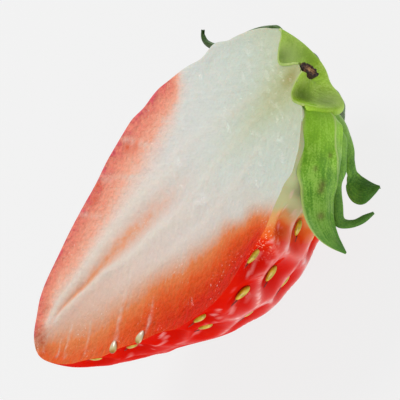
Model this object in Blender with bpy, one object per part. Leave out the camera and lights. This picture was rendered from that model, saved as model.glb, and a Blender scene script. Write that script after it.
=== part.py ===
"""Half a strawberry, cut lengthwise and lying on its skin with the cut face up.

The fruit is drawn in its own frame, in millimetres: its tip at x = 0, its stem end towards +X, the cut
face in the plane z = 0 and the skin below it. The last step stands it on z = 0 with the middle of its
box over the origin.
"""

import math
import random

import bmesh
import bpy
from mathutils import Matrix, Vector

MM = 0.001

# Cross-sections of the fruit from tip to shoulder: x, reach to -Y, to -Z and to +Y, and how far x leans
# forward for each millimetre towards +Y. The first and the last only shape the ends of the curve.
RIBS = (
    (0.7, -2.1, -2.1, -2.4, 0.0),
    (0.0, 0.0, 0.0, 0.0, 0.0),
    (0.7, 2.1, 2.2, 2.4, 0.0),
    (3.0, 4.6, 5.2, 5.1, 0.0),
    (7.0, 7.3, 8.2, 7.5, 0.0),
    (12.0, 9.6, 11.2, 9.8, 0.0),
    (18.0, 12.3, 13.3, 12.2, 0.0),
    (24.0, 13.5, 13.5, 13.3, 0.0),
    (30.0, 12.0, 11.9, 11.9, 0.0),
    (34.5, 9.4, 9.6, 10.3, 0.02),
    (37.6, 6.5, 6.5, 8.4, 0.05),
    (39.3, 3.9, 3.8, 6.3, 0.1),
    (39.6, 3.2, 3.1, 5.4, 0.1),
)
# The hollow round the stem: how far out towards the shoulder's edge, and how far x stands from that edge.
HOLLOW = (
    (1.1, 0.1),
    (1.0, 0.0),
    (0.72, -0.5),
    (0.45, -0.8),
    (0.28, -0.7),
    (0.2, 0.9),
    (0.0, 1.2),
    (-0.2, 0.9),
)
SKIN_RINGS = 50
SKIN_STEPS = 40
HOLLOW_RINGS = 9
LEAN_STARTS = 0.8
SKIN_START = 0.02
CURVE_STEPS = 600
NUDGE = 0.001
SMOOTH_BELOW = math.radians(50)

# The core shows in the cut face as two pale ridges with a shallow trough between them.
CORE_START = 4.0
CORE_END = 31.0
CORE_MIDDLE = 0.9
CORE_HALF_WIDTH = 2.6
TROUGH_DEPTH = 0.35
TROUGH_WIDTH = 0.6
RIDGE_HEIGHT = 0.25
RIDGE_WIDTH = 0.35
FACE_SINK = 0.25
FACE_EDGE = 0.25

# The small flat spot that it lies on: its depth, and where achenes keep off it.
FLAT_DEPTH = 12.75
FLAT_CLEAR = (5.6, 0.9)

ACHENES_ON_WHOLE_FRUIT = 156
ACHENE_TURN = math.radians(137.508)
ACHENE_START = math.radians(20)
ACHENE_SEED = 7
ACHENE_SIZE = (1.8, 0.9, 0.75)
ACHENE_GROWTH = (0.88, 1.08)
ACHENE_TWIST = 14
ACHENE_TAPER = 0.18
ACHENE_SIDES = 8
ACHENE_RINGS = 4
ACHENE_SINK = 0.27
ACHENE_CLEAR_OF_CUT = 0.75
ACHENE_LAST_X = 33.5
# The achenes just under the -Y edge of the cut face: place along the skin and turn down from that edge.
EDGE_ACHENES = (
    (0.669, 4.5),
    (0.605, 11),
    (0.646, 20),
    (0.728, 26),
    (0.735, 13),
    (0.529, 5.5),
    (0.500, 14),
    (0.459, 5.5),
    (0.377, 6.5),
    (0.330, 7),
)
ACHENE_SPACING = 3.1
SPIRAL_BANDS = 300
PIT_DEPTH = 0.42
PIT_RADIUS = 0.95
PIT_FADES = 3

# The calyx. Each sepal is a row of stations from the collar to its tip: x, y, z and half its width. Its
# outer face looks away from SEPAL_BACK, a point inside the shoulder.
HUB_Y = 0.3
SEPAL_BACK = Vector((30.0, 0.0, 0.0))
SEPAL_THICKNESS = 0.6
SEPAL_ARCH = 0.25
SEPAL_STEPS = 12
SEPAL_COLUMNS = 4
SEPALS = {
    "front": (
        (40.5, -2.0, -1.3, 1.2),
        (39.9, -4.0, -1.7, 1.7),
        (38.2, -6.7, -2.5, 2.25),
        (36.0, -9.1, -3.2, 2.1),
        (34.3, -10.8, -4.3, 2.1),
        (32.9, -11.9, -5.9, 1.3),
        (32.2, -12.2, -8.7, 0.25),
    ),
    "narrow": (
        (40.5, -1.5, -2.4, 0.9),
        (39.6, -3.4, -4.4, 1.2),
        (37.6, -5.4, -6.0, 1.3),
        (35.6, -7.6, -7.0, 1.2),
        (34.3, -9.9, -7.2, 0.9),
        (34.5, -10.8, -8.2, 0.6),
        (36.0, -10.1, -9.6, 0.25),
    ),
    "spoon": (
        (40.4, -0.8, -2.6, 1.1),
        (40.0, -2.0, -4.2, 1.2),
        (38.7, -3.9, -5.4, 1.3),
        (37.1, -5.8, -6.8, 1.4),
        (35.9, -7.2, -8.3, 1.6),
        (35.7, -7.4, -9.9, 1.2),
        (36.4, -6.4, -11.2, 0.25),
    ),
    "under": (
        (40.4, 0.6, -2.6, 1.2),
        (40.1, 1.1, -4.7, 1.5),
        (38.2, 2.4, -7.5, 2.0),
        (35.6, 3.4, -10.2, 1.7),
        (33.6, 3.7, -11.6, 0.25),
    ),
    "far_narrow": (
        (40.4, 1.5, -2.4, 0.9),
        (40.2, 3.6, -4.4, 0.9),
        (38.6, 6.4, -6.1, 1.2),
        (35.0, 8.7, -7.5, 1.0),
        (32.6, 10.3, -8.3, 0.25),
    ),
    "far": (
        (40.6, 2.4, -1.5, 1.2),
        (40.6, 4.9, -1.9, 1.5),
        (40.0, 7.3, -2.3, 1.5),
        (37.8, 9.6, -2.8, 1.6),
        (34.2, 12.0, -3.6, 1.4),
        (31.2, 14.2, -3.7, 0.9),
        (29.2, 16.4, -3.0, 0.6),
        (30.0, 16.8, -2.1, 0.25),
    ),
}
# The collar's cross-section: distance from the stem's middle, and x. It dips into the hollow.
COLLAR = ((1.95, 39.35), (2.7, 39.35), (3.8, 40.05), (3.9, 40.5), (3.2, 40.95), (1.95, 40.7))
COLLAR_STEPS = 20

# The stalk's stub: x and radius of its rings, where its middle runs, and how far its torn end is notched.
STUB_RINGS = ((41.15, 0.85), (41.65, 0.95), (42.1, 1.05))
STUB_Y = -0.1
STUB_SIDES = 14
STUB_TOP = 0.1
STUB_NOTCH = 0.35
STUB_DISH = (0.5, 0.45)
STUB_SEED = 3

SKIN_RED = (0.70, 0.010, 0.004)
LEAF_GREEN = (0.15, 0.34, 0.030)
STALK_BROWN = (0.10, 0.045, 0.016)


def clear_scene():
    for item in list(bpy.data.objects):
        bpy.data.objects.remove(item, do_unlink=True)


def finish(name, colour, roughness):
    """A plain Principled material in the piece's own colour."""
    made = bpy.data.materials.new(name)
    made.use_nodes = True
    shader = made.node_tree.nodes["Principled BSDF"]
    shader.inputs["Base Color"].default_value = (*colour, 1.0)
    shader.inputs["Roughness"].default_value = roughness
    shader.inputs["Metallic"].default_value = 0.0
    made.diffuse_color = (*colour, 1.0)
    return made


def solid(name, points, faces, material):
    """An object from points in millimetres, its faces turned outwards."""
    mesh = bpy.data.meshes.new(name)
    mesh.from_pydata([Vector(point) * MM for point in points], [], faces)
    shape = bmesh.new()
    shape.from_mesh(mesh)
    bmesh.ops.recalc_face_normals(shape, faces=shape.faces)
    shape.to_mesh(mesh)
    shape.free()
    mesh.materials.append(material)
    made = bpy.data.objects.new(name, mesh)
    bpy.context.scene.collection.objects.link(made)
    return made


def union(body, pieces, solver="EXACT"):
    """Joins the pieces to the body in one Boolean, and removes them."""
    group = bpy.data.collections.new(body.name + "_pieces")
    bpy.context.scene.collection.children.link(group)
    for piece in pieces:
        bpy.context.scene.collection.objects.unlink(piece)
        group.objects.link(piece)
    joined = body.modifiers.new("union", "BOOLEAN")
    joined.operation = "UNION"
    joined.operand_type = "COLLECTION"
    joined.collection = group
    joined.solver = solver
    bpy.context.view_layer.objects.active = body
    bpy.ops.object.modifier_apply(modifier=joined.name)
    for piece in pieces:
        bpy.data.objects.remove(piece, do_unlink=True)
    bpy.data.collections.remove(group)


def on_curve(points, t):
    """The point at t, 0 to 1, of a smooth curve through all of the points but the first and the last."""
    spans = len(points) - 3
    place = min(max(t, 0.0), 1.0) * spans
    first = min(int(place), spans - 1)
    f = place - first
    return tuple(
        b + 0.5 * f * (c - a + f * (2 * a - 5 * b + 4 * c - d + f * (3 * (b - c) + d - a)))
        for a, b, c, d in zip(*points[first : first + 4])
    )


def with_ends(points):
    """The points with one more at each end, so that the curve runs through them all."""
    first = tuple(2 * a - b for a, b in zip(points[0], points[1]))
    last = tuple(2 * a - b for a, b in zip(points[-1], points[-2]))
    return (first, *points, last)


def even_places(reach, count):
    """Values of t, 0 to 1, that split the curve reach(t) into equal lengths."""
    lengths = [0.0]
    before = reach(0.0)
    for i in range(1, CURVE_STEPS + 1):
        here = reach(i / CURVE_STEPS)
        lengths.append(lengths[-1] + (here - before).length)
        before = here
    places = []
    at = 0
    for i in range(count + 1):
        wanted = lengths[-1] * i / count
        while at < CURVE_STEPS and lengths[at] < wanted:
            at += 1
        places.append(at / CURVE_STEPS)
    return places


def smooth_skin(t, turn):
    """A point of the skin without its pits. The turn goes from the -Y edge of the cut face round to +Y."""
    x, right, down, left, lean = on_curve(RIBS, t)
    y = -math.cos(turn) * (right if turn < math.pi / 2 else left)
    return Vector((x + lean * y, y, -down * math.sin(turn)))


def skin_frame(t, turn):
    """The point, the direction towards the stem and the outward normal of the skin."""
    lengthwise = (smooth_skin(t + NUDGE, turn) - smooth_skin(t - NUDGE, turn)).normalized()
    crosswise = smooth_skin(t, turn + NUDGE) - smooth_skin(t, turn - NUDGE)
    return smooth_skin(t, turn), lengthwise, crosswise.cross(lengthwise).normalized()


def achene_places():
    """Where the achenes grow: evenly over the whole fruit on one spiral, less the half that is cut away."""
    places = even_places(lambda t: smooth_skin(t, math.pi / 2), SPIRAL_BANDS)
    girths = [-smooth_skin(t, math.pi / 2).z for t in places]
    total = sum(girths)
    found = [(t, math.radians(turn)) for t, turn in EDGE_ACHENES]
    taken = [smooth_skin(t, turn) for t, turn in found]
    covered = 0.0
    number = 0
    for t, girth in zip(places, girths):
        covered += girth
        while covered >= total * (number + 0.5) / ACHENES_ON_WHOLE_FRUIT:
            turn = (ACHENE_START + number * ACHENE_TURN) % (2 * math.pi)
            number += 1
            if turn >= math.pi:
                continue
            point = smooth_skin(t, turn)
            on_flat = abs(point.y) < FLAT_CLEAR[0] and -point.z > FLAT_DEPTH - FLAT_CLEAR[1]
            if -point.z < ACHENE_CLEAR_OF_CUT or point.x > ACHENE_LAST_X or on_flat:
                continue
            if min((point - other).length for other in taken) > ACHENE_SPACING:
                found.append((t, turn))
    return found


def pitted(point, pits):
    """A point of the skin pulled in by the pits near it."""
    for centre, normal in pits:
        far = (point - centre).length / PIT_RADIUS
        if far < PIT_FADES:
            point = point - normal * PIT_DEPTH * math.exp(-far * far)
    return point


def face_relief(x, y):
    """How deep the cut face lies at x, y. Its ridges are its highest part."""
    along = (x - CORE_START) / (CORE_END - CORE_START)
    if not 0 < along < 1:
        return 0.0
    fade = math.sqrt(math.sin(math.pi * along))
    far = abs(y - CORE_MIDDLE * (1 - along)) / (CORE_HALF_WIDTH * fade)
    trough = TROUGH_DEPTH * math.exp(-((far / TROUGH_WIDTH) ** 2))
    ridge = RIDGE_HEIGHT * math.exp(-(((far - 1.0) / RIDGE_WIDTH) ** 2))
    return fade * (FACE_SINK + trough - ridge)


def berry_mesh(pits):
    """Points and faces of the flesh: its pitted skin, the hollow at its stem end and its cut face."""
    points = []
    faces = []

    def keep(point):
        points.append(point)
        return len(points) - 1

    def skin_at(t, step):
        point = pitted(smooth_skin(t, math.pi * step / SKIN_STEPS), pits)
        point.z = 0.0 if step in (0, SKIN_STEPS) else min(max(point.z, -FLAT_DEPTH), -SKIN_START)
        return point

    places = even_places(lambda t: smooth_skin(t, math.pi / 2), SKIN_RINGS)
    tip = keep(smooth_skin(0.0, 0.0))
    rings = [[keep(skin_at(t, step)) for step in range(SKIN_STEPS + 1)] for t in places[1:]]
    rim = [points[i].copy() for i in rings[-1]]
    middle = Vector(((rim[0].x + rim[-1].x) / 2, HUB_Y, 0.0))
    hollow = [rings[-1]]
    for ring in range(1, HOLLOW_RINGS):
        out, rise = on_curve(HOLLOW, ring / HOLLOW_RINGS)
        hollow.append([keep(middle.lerp(p, out) + Vector((rise, 0, 0))) for p in rim])
    top = keep(middle + Vector((on_curve(HOLLOW, 1.0)[1], 0, 0)))

    for outer, inner in zip(rings, rings[1:]):
        add_band(faces, outer, inner)
    for outer, inner in zip(hollow, hollow[1:]):
        add_band(faces, outer, inner)
    for a, b in zip(rings[0], rings[0][1:]):
        faces.append((tip, a, b))
    for a, b in zip(hollow[-1], hollow[-1][1:]):
        faces.append((top, b, a))

    last_row = [ring[0] for ring in hollow] + [top] + [ring[-1] for ring in reversed(hollow)]
    lean = [points[i] for i in last_row]
    rows = []
    for number, ring in enumerate(rings[:-1]):
        right = points[ring[0]]
        left = points[ring[-1]]
        near_top = max(0.0, (number / (len(rings) - 1) - LEAN_STARTS) / (1 - LEAN_STARTS)) ** 2
        row = [ring[0]]
        for column in range(1, len(last_row) - 1):
            across = column / (len(last_row) - 1)
            plain = right.lerp(left, across)
            end_across = (lean[column].y - lean[0].y) / (lean[-1].y - lean[0].y)
            spread = right.lerp(left, end_across)
            point = plain.lerp(spread, near_top)
            bend = lean[column].x - lean[0].lerp(lean[-1], end_across).x
            point.x += bend * near_top
            edge = 1 - abs(2 * (point.y - right.y) / (left.y - right.y) - 1)
            point.z = -face_relief(point.x, point.y) * min(1.0, edge / FACE_EDGE)
            row.append(keep(point))
        rows.append([*row, ring[-1]])
    rows.append(last_row)
    for a, b in zip(rows[0], rows[0][1:]):
        faces.append((tip, b, a))
    for lower, upper in zip(rows, rows[1:]):
        add_band(faces, upper, lower)
    return points, faces


def add_band(faces, outer, inner):
    """Triangles between two rows of the same length."""
    for i in range(len(outer) - 1):
        faces.append((outer[i], inner[i], inner[i + 1]))
        faces.append((outer[i], inner[i + 1], outer[i + 1]))


def achene(t, turn, draw, material):
    """One drop-shaped achene, its blunt end towards the stem, sunk to about half in its pit."""
    point, lengthwise, normal = skin_frame(t, turn)
    sideways = normal.cross(lengthwise)
    grow = draw.uniform(*ACHENE_GROWTH)
    twist = Matrix.Rotation(math.radians(draw.uniform(-ACHENE_TWIST, ACHENE_TWIST)), 3, normal)
    centre = point - normal * ACHENE_SINK
    corners = [centre + twist @ lengthwise * ACHENE_SIZE[0] / 2 * grow]
    for ring in range(1, ACHENE_RINGS):
        lift = math.pi * ring / ACHENE_RINGS
        taper = math.sin(lift) * (1.0 + ACHENE_TAPER * math.cos(lift))
        for side in range(ACHENE_SIDES):
            spin = 2 * math.pi * side / ACHENE_SIDES
            out = sideways * math.cos(spin) * ACHENE_SIZE[1] + normal * math.sin(spin) * ACHENE_SIZE[2]
            along = lengthwise * math.cos(lift) * ACHENE_SIZE[0]
            corners.append(centre + twist @ (along + out * taper) / 2 * grow)
    corners.append(centre - twist @ lengthwise * ACHENE_SIZE[0] / 2 * grow)
    faces = []
    last = len(corners) - 1
    for side in range(ACHENE_SIDES):
        after = (side + 1) % ACHENE_SIDES
        faces.append((0, 1 + after, 1 + side))
        faces.append((last, last - ACHENE_SIDES + side, last - ACHENE_SIDES + after))
        for ring in range(ACHENE_RINGS - 2):
            near = 1 + ring * ACHENE_SIDES
            far = near + ACHENE_SIDES
            faces.append((near + side, near + after, far + after, far + side))
    return solid("achene", corners, faces, material)


def berry(material):
    """The flesh with its skin, with the achenes fused to it."""
    places = achene_places()
    frames = [skin_frame(t, turn) for t, turn in places]
    points, faces = berry_mesh([(point, normal) for point, _, normal in frames])
    body = solid("berry", points, faces, material)
    draw = random.Random(ACHENE_SEED)
    union(body, [achene(t, turn, draw, material) for t, turn in places])
    body.data.shade_smooth()
    body.data.set_sharp_from_angle(angle=SMOOTH_BELOW)
    return body


def blade(stations, material):
    """One sepal: a thin arched blade, both of its faces split into the same triangles."""
    curve = with_ends(stations)
    corners = []
    half = SEPAL_THICKNESS / 2
    for step in range(SEPAL_STEPS + 1):
        t = step / SEPAL_STEPS
        x, y, z, width = on_curve(curve, t)
        spine = Vector((x, y, z))
        ahead = Vector(on_curve(curve, t + NUDGE)[:3]) - Vector(on_curve(curve, t - NUDGE)[:3])
        ahead.normalize()
        outward = spine - SEPAL_BACK
        outward -= ahead * outward.dot(ahead)
        outward.normalize()
        aside = ahead.cross(outward)
        for column in range(SEPAL_COLUMNS + 1):
            across = 2 * column / SEPAL_COLUMNS - 1
            arch = SEPAL_ARCH * width * (0.5 - across * across)
            middle = spine + aside * across * width + outward * arch
            corners.append(middle + outward * half)
            corners.append(middle - outward * half)
    faces = []
    row = 2 * (SEPAL_COLUMNS + 1)

    def at(step, column, side):
        return step * row + 2 * column + side

    for step in range(SEPAL_STEPS):
        for column in range(SEPAL_COLUMNS):
            for side in (0, 1):
                a, b = at(step, column, side), at(step, column + 1, side)
                c, d = at(step + 1, column + 1, side), at(step + 1, column, side)
                faces += [(a, b, c), (a, c, d)]
        for column in (0, SEPAL_COLUMNS):
            a, b = at(step, column, 0), at(step, column, 1)
            c, d = at(step + 1, column, 1), at(step + 1, column, 0)
            faces += [(a, b, c), (a, c, d)]
    for step in (0, SEPAL_STEPS):
        for column in range(SEPAL_COLUMNS):
            a, b = at(step, column, 0), at(step, column + 1, 0)
            c, d = at(step, column + 1, 1), at(step, column, 1)
            faces += [(a, b, c), (a, c, d)]
    return solid("sepal", corners, faces, material)


def collar(material):
    """The half ring round the stem that the sepals grow from."""
    points = []
    for step in range(COLLAR_STEPS + 1):
        turn = math.pi * step / COLLAR_STEPS
        for radius, x in COLLAR:
            points.append((x, HUB_Y - radius * math.cos(turn), -radius * math.sin(turn)))
    row = len(COLLAR)
    faces = [tuple(range(row)), tuple(range(len(points) - row, len(points)))]
    for step in range(COLLAR_STEPS):
        for i in range(row):
            after = (i + 1) % row
            near = step * row
            far = near + row
            faces.append((near + i, near + after, far + after, far + i))
    return solid("calyx", points, faces, material)


def calyx(material):
    body = collar(material)
    union(body, [blade(stations, material) for stations in SEPALS.values()], "MANIFOLD")
    body.data.shade_smooth()
    body.data.set_sharp_from_angle(angle=SMOOTH_BELOW)
    return body


def stem_stub(material):
    """The dried end of the stalk, cut in half with the fruit and torn off short."""
    draw = random.Random(STUB_SEED)
    points = []
    for x, radius in STUB_RINGS:
        notch = STUB_NOTCH if x == STUB_RINGS[-1][0] else 0.0
        for step in range(STUB_SIDES + 1):
            turn = math.pi * step / STUB_SIDES
            reach = radius * draw.uniform(0.9, 1.0)
            height = x - notch * draw.random()
            points.append((height, STUB_Y - reach * math.cos(turn), -STUB_TOP - reach * math.sin(turn)))
    row = STUB_SIDES + 1
    faces = []
    for near, far in ((0, row), (row, 2 * row)):
        for i in range(row):
            after = (i + 1) % row
            faces.append((near + i, near + after, far + after, far + i))
    dish, depth = STUB_DISH
    for near, x in ((0, STUB_RINGS[0][0]), (2 * row, STUB_RINGS[-1][0] - dish)):
        points.append((x, STUB_Y, -depth))
        middle = len(points) - 1
        for i in range(row):
            faces.append((middle, near + i, near + (i + 1) % row))
    body = solid("stem_stub", points, faces, material)
    body.data.shade_smooth()
    return body


def stand_on_origin(pieces):
    """Moves the pieces together, so that their box stands on z = 0 with its middle over the origin."""
    corners = [vertex.co for piece in pieces for vertex in piece.data.vertices]
    low = Vector([min(corner[i] for corner in corners) for i in range(3)])
    high = Vector([max(corner[i] for corner in corners) for i in range(3)])
    move = Vector((-(low.x + high.x) / 2, -(low.y + high.y) / 2, -low.z))
    for piece in pieces:
        piece.data.transform(Matrix.Translation(move))


def main():
    clear_scene()
    pieces = [
        berry(finish("ripe_flesh_and_skin", SKIN_RED, 0.3)),
        calyx(finish("green_sepal", LEAF_GREEN, 0.5)),
        stem_stub(finish("dried_stalk", STALK_BROWN, 0.8)),
    ]
    stand_on_origin(pieces)


main()
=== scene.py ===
import math
import random
from functools import partial

import bpy
from mathutils import Matrix, Vector, kdtree, noise


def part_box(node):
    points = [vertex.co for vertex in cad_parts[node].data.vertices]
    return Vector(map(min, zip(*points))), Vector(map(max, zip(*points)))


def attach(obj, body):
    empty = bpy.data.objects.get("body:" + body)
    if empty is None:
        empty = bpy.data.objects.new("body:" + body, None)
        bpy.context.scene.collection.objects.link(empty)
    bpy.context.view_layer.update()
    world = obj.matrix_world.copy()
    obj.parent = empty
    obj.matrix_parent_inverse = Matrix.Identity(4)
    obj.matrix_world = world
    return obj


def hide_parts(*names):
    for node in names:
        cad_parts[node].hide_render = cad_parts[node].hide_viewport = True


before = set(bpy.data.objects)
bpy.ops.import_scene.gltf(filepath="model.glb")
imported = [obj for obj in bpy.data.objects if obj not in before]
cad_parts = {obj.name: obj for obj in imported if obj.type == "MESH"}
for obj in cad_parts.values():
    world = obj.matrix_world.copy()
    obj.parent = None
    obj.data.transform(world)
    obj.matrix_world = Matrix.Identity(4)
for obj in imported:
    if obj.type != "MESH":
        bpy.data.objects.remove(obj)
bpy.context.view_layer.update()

mm = 0.001

# The fruit is drawn in millimetres from its tip: x to the stem, y to the left, z up from the cut face.
berryLow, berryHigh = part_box("berry")
widestRight = 13.5
tip = Vector((berryLow.x, berryLow.y + widestRight * mm, berryHigh.z))


def placed(point):
    return tip + Vector(point) * mm


def hexColour(code):  # sRGB hex to the linear colour that shaders work in
    values = [int(code[i : i + 2], 16) / 255 for i in (1, 3, 5)]
    return (*(v / 12.92 if v <= 0.04045 else ((v + 0.055) / 1.055) ** 2.4 for v in values), 1.0)


def easeStep(low, high, value):
    f = min(max((value - low) / (high - low), 0.0), 1.0)
    return f * f * (3 - 2 * f)


def hump(value, middle, width):  # 1 at the middle, fading to 0 a few widths away
    return math.exp(-(((value - middle) / width) ** 2))


def onCurve(points, t):  # a smooth curve through all the points but the first and the last
    spans = len(points) - 3
    place = min(max(t, 0.0), 1.0) * spans
    first = min(int(place), spans - 1)
    f = place - first
    return tuple(
        b + 0.5 * f * (c - a + f * (2 * a - 5 * b + 4 * c - d + f * (3 * (b - c) + d - a)))
        for a, b, c, d in zip(*points[first : first + 4])
    )


def withEnds(points):  # one more point past each end, so that the curve runs through them all
    first = tuple(2 * a - b for a, b in zip(points[0], points[1]))
    last = tuple(2 * a - b for a, b in zip(points[-1], points[-2]))
    return (first, *points, last)


def eased(pairs, x):  # a value that eases from pair to pair of (x, value)
    for (x0, v0), (x1, v1) in zip(pairs, pairs[1:]):
        if x < x1:
            return v0 + (v1 - v0) * easeStep(x0, x1, x)
    return pairs[-1][1]


def searchTree(points):  # finds the points that are nearest to a place
    tree = kdtree.KDTree(len(points))
    for index, point in enumerate(points):
        tree.insert(point, index)
    tree.balance()
    return tree


def selectOnly(*items):
    for item in bpy.context.selected_objects:
        item.select_set(False)
    for item in items:
        item.select_set(True)
        bpy.context.view_layer.objects.active = items[0]


def shapedGrid(name, along, across, pointAt, finish):  # a grid whose every point is moved into place
    selectOnly()
    bpy.ops.mesh.primitive_grid_add(x_subdivisions=along, y_subdivisions=across, size=1)
    sheet = bpy.context.object
    sheet.name = name
    sheet.data.name = name
    for vertex in sheet.data.vertices:
        vertex.co = placed(pointAt(vertex.co.x + 0.5, vertex.co.y + 0.5))
    sheet.data.materials.append(finish)
    return sheet


def joined(name, items):
    selectOnly(*items)
    bpy.ops.object.join()
    items[0].name = name
    items[0].data.name = name
    return items[0]


def editMesh(item, *steps):  # runs edit-mode operators on the whole mesh
    selectOnly(item)
    bpy.ops.object.mode_set(mode="EDIT")
    bpy.ops.mesh.select_all(action="SELECT")
    for step in steps:
        step()
    bpy.ops.object.mode_set(mode="OBJECT")


outwards = partial(bpy.ops.mesh.normals_make_consistent, inside=False)
mergeDoubles = partial(bpy.ops.mesh.remove_doubles, threshold=0.002 * mm)
dissolveSlivers = partial(bpy.ops.mesh.dissolve_degenerate, threshold=0.001 * mm)


def thicken(item, thickness, side, rimFinish):  # side: 0 grows both ways, -1 grows inwards
    solidify = item.modifiers.new("thickness", "SOLIDIFY")
    solidify.thickness = thickness * mm
    solidify.offset = side
    solidify.material_offset_rim = rimFinish
    selectOnly(item)
    bpy.ops.object.modifier_apply(modifier=solidify.name)


def smooth(item, angle=None):
    selectOnly(item)
    if angle is None:
        bpy.ops.object.shade_smooth()
    else:
        bpy.ops.object.shade_smooth_by_angle(angle=math.radians(angle))


def floatAttribute(item, name, valueAt):  # a number at each point, worked out from its place in the fruit
    values = [valueAt(*((vertex.co - tip) / mm)) for vertex in item.data.vertices]
    item.data.attributes.new(name, "FLOAT", "POINT").data.foreach_set("value", values)


def belongs(piece, slotName, *nodes):
    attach(piece, "root")
    if nodes:
        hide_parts(*nodes)


# The camera looks down on the cut face from beside the stem end, turned so that the tip points down left.
cameraSetup = {
    "azimuth": 34.6,
    "elevation": 36.0,
    "roll": -68.3,
    "distance": 400,
    "lens": 374.4,
    "sensor": 36,
    "aim": (18.9, 6.3, -7.6),
}


def makeCamera(setup):
    turn, lift, roll = (math.radians(setup[k]) for k in ("azimuth", "elevation", "roll"))
    back = Vector((math.sin(turn) * math.cos(lift), -math.cos(turn) * math.cos(lift), math.sin(lift)))
    level = Vector((math.cos(turn), math.sin(turn), 0))
    upright = back.cross(level)
    right = level * math.cos(roll) + upright * math.sin(roll)
    up = upright * math.cos(roll) - level * math.sin(roll)
    bpy.ops.object.camera_add(location=placed(setup["aim"]) + back * setup["distance"] * mm)
    camera = bpy.context.object
    camera.rotation_mode = "QUATERNION"
    camera.rotation_quaternion = Matrix((right, up, back)).transposed().to_quaternion()
    camera.data.lens = setup["lens"]
    camera.data.sensor_width = setup["sensor"]
    bpy.context.scene.camera = camera


makeCamera(cameraSetup)
print("camera placed")


def fillSockets(node, inputs):  # values or other nodes' outputs, in order or by socket
    for key, value in inputs.items() if isinstance(inputs, dict) else enumerate(inputs):
        if isinstance(value, bpy.types.NodeSocket):
            node.id_data.links.new(value, node.inputs[key])
        else:
            node.inputs[key].default_value = value


def addNode(tree, kind, inputs=(), output=0, stops=(), **settings):  # gives back one of the node's outputs
    node = tree.nodes.new("ShaderNode" + kind)
    for key, value in settings.items():
        setattr(node, key, value)
    for number, (place, colour) in enumerate(stops):
        elements = node.color_ramp.elements
        element = elements[number] if number < 2 else elements.new(place)
        element.position = place
        element.color = hexColour(colour)
    fillSockets(node, inputs)
    return node.outputs[output]


def newMaterial(name, attributes=""):  # its shader, what adds a node, and the attributes that it reads
    material = bpy.data.materials.new(name)
    material.use_nodes = True
    add = partial(addNode, material.node_tree)
    read = [add("Attribute", output="Fac", attribute_name=attribute) for attribute in attributes.split()]
    return material, material.node_tree.nodes["Principled BSDF"], add, read


def fruitPlace(add, scale=(1, 1, 1)):  # object coordinates in millimetres, stretched by the scale
    return add("Mapping", {"Vector": add("TexCoord", output="Object"), "Scale": [s / mm for s in scale]})


def layered(add, base, *layers):  # each layer is where it lies, how strongly it shows, and its colour
    for mask, share, colour in layers:
        over = hexColour(colour) if isinstance(colour, str) else colour
        amount = add("Math", (mask, share), operation="MULTIPLY")
        # of this node's sockets, 6 and 7 take the colours and 2 gives the blend
        base = add("Mix", {0: amount, 6: base, 7: over}, 2, data_type="RGBA")
    return base


# Strawberry epidermis, wet: a clear glossy skin over red flesh, and light soaks a little way in. Painted
# highlights, painted sheen and painted glints lie on it, and painted shade deepens its pits.
skinLook = {
    "ripeness": (
        (0.0, "#b6bb8e"), (0.3, "#c2bf8e"), (0.42, "#e8a565"),
        (0.52, "#f2702e"), (0.7, "#e83008"), (1.0, "#d41204"),
    ),
    "pitShadeAndRed": (0.6, "#c01004"),  # deeper red in the pits, darkened further by painted shade: how strongly it shows, and its colour
    "stain": (1.0, "#8c2a1a"),
    # painted highlight on the ridges between the pits: how strongly it shows, and its colour
    "crestHighlights": (0.85, "#fac4be"),
    # painted glints: how strongly they show, and their colour
    "paintedGlints": (1.0, "#f8c6a8"),
    "blotchSize": 1.8,  # sizes are in millimetres
    "glintSize": 0.2,
    "grainSize": 0.3,  # real skin cells are ten times finer and wouldn't show, so they are drawn this coarse
    "grainDepth": 0.05,
}


def makeSkin(look):
    material, shader, add, read = newMaterial("wetStrawberrySkin", "ripe pit stain crest dew wet")
    ripe, pit, stain, crest, dew, wet = read
    place = fruitPlace(add)
    blotches = add("TexNoise", {"Vector": place, "Scale": 1 / look["blotchSize"], "Detail": 4})
    blush = add("Math", (blotches, 0.3, -0.15), operation="MULTIPLY_ADD")
    ripeHere = add("Math", (ripe, blush), operation="ADD", use_clamp=True)
    # deeper red in the pits, partly the skin's own and partly painted shade
    pitShadeRed = add("Math", (pit, ripeHere), operation="MULTIPLY", use_clamp=True)
    # painted glints: small bright specks where the glint patch lies
    glintSpecks = add("TexNoise", {"Vector": place, "Scale": 1 / look["glintSize"], "Detail": 1})
    glintSpecks = add("MapRange", (glintSpecks, 0.6, 0.68))
    base = layered(
        add,
        add("ValToRGB", (ripeHere,), stops=look["ripeness"]),
        (pitShadeRed, *look["pitShadeAndRed"]),
        (stain, *look["stain"]),
        (crest, *look["crestHighlights"]),
        (add("Math", (glintSpecks, dew), operation="MULTIPLY"), *look["paintedGlints"]),
    )
    grain = add("TexNoise", {"Vector": place, "Scale": 1 / look["grainSize"], "Detail": 3})
    fillSockets(shader, {
        "Base Color": base,
        "Roughness": 0.3,
        "Specular IOR Level": 0.0,
        "Coat Weight": wet,  # all of the gloss is water
        "Coat Roughness": 0.04,
        "Coat IOR": 1.8,
        "Subsurface Weight": 0.2,
        "Subsurface Radius": (1.0, 0.12, 0.05),
        "Subsurface Scale": 1.2 * mm,
        "Normal": add("Bump", {"Strength": 0.2, "Distance": look["grainDepth"] * mm, "Height": grain}),
    })
    return material
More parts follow.
